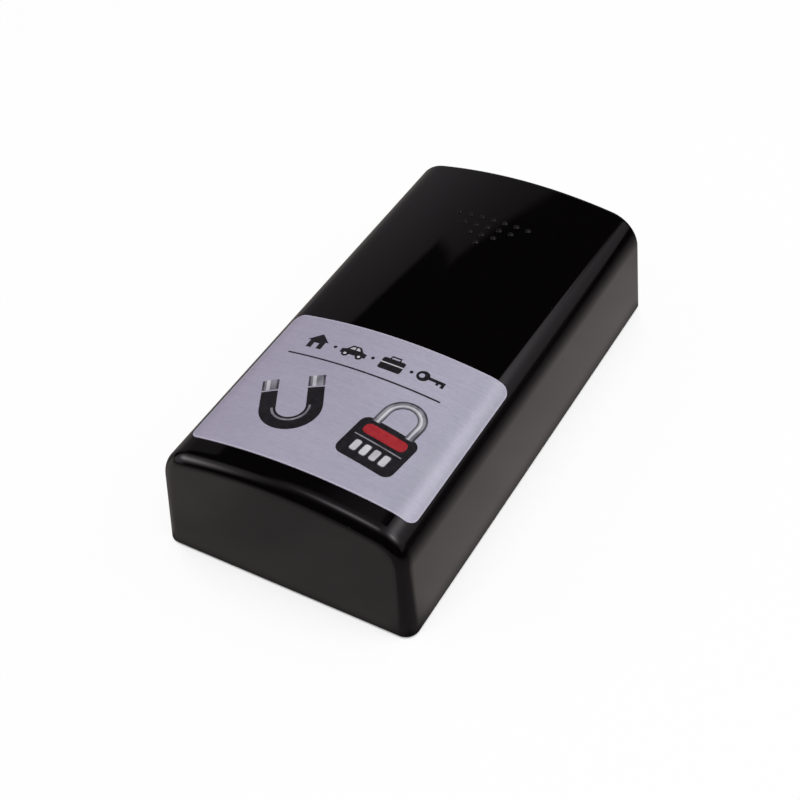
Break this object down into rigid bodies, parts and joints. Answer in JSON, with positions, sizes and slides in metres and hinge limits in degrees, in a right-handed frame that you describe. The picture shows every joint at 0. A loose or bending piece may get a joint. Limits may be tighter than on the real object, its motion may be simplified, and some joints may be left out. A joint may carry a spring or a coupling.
{
  "type": "magnetic key box",
  "caption": "Arched key box whose sliding cover runs on tongues in a flanged tray, with magnets sunk in the tray's underside to hold it to steel.",
  "frame": {"origin": "middle of the underside, on the plane where the magnets touch the steel", "axes": "+Y along the box towards the cover's open end, +Z away from the steel, +X to the right when the closed end faces the viewer"},
  "size_m": [0.061, 0.1134, 0.0293],
  "materials": {
    "cover_plastic": "polished black moulding",
    "label_foil": "brushed silver foil, satin",
    "tray_plastic": "fine moulded texture, black",
    "mat_rubber": "matt black with fine grooves",
    "magnet_coating": "dark satin coating",
    "backing_steel": "zinc-plated",
    "tape_foam": "matt off-white"
  },
  "bodies": {
    "base": {"tray": "tray_plastic", "mat": "mat_rubber", "magnet_near": "magnet_coating", "magnet_far": "magnet_coating", "backing_plate_near": "backing_steel", "backing_plate_far": "backing_steel", "tape_pad_near": "tape_foam", "tape_pad_far": "tape_foam"},
    "sliding_cover": {"cover": "cover_plastic", "label": "label_foil"}
  },
  "joints": [
    {"name": "cover_slide", "type": "slide", "parent": "base", "child": "sliding_cover", "axis": [0, -1, 0], "range_m": [0, 0.1]}
  ]
}
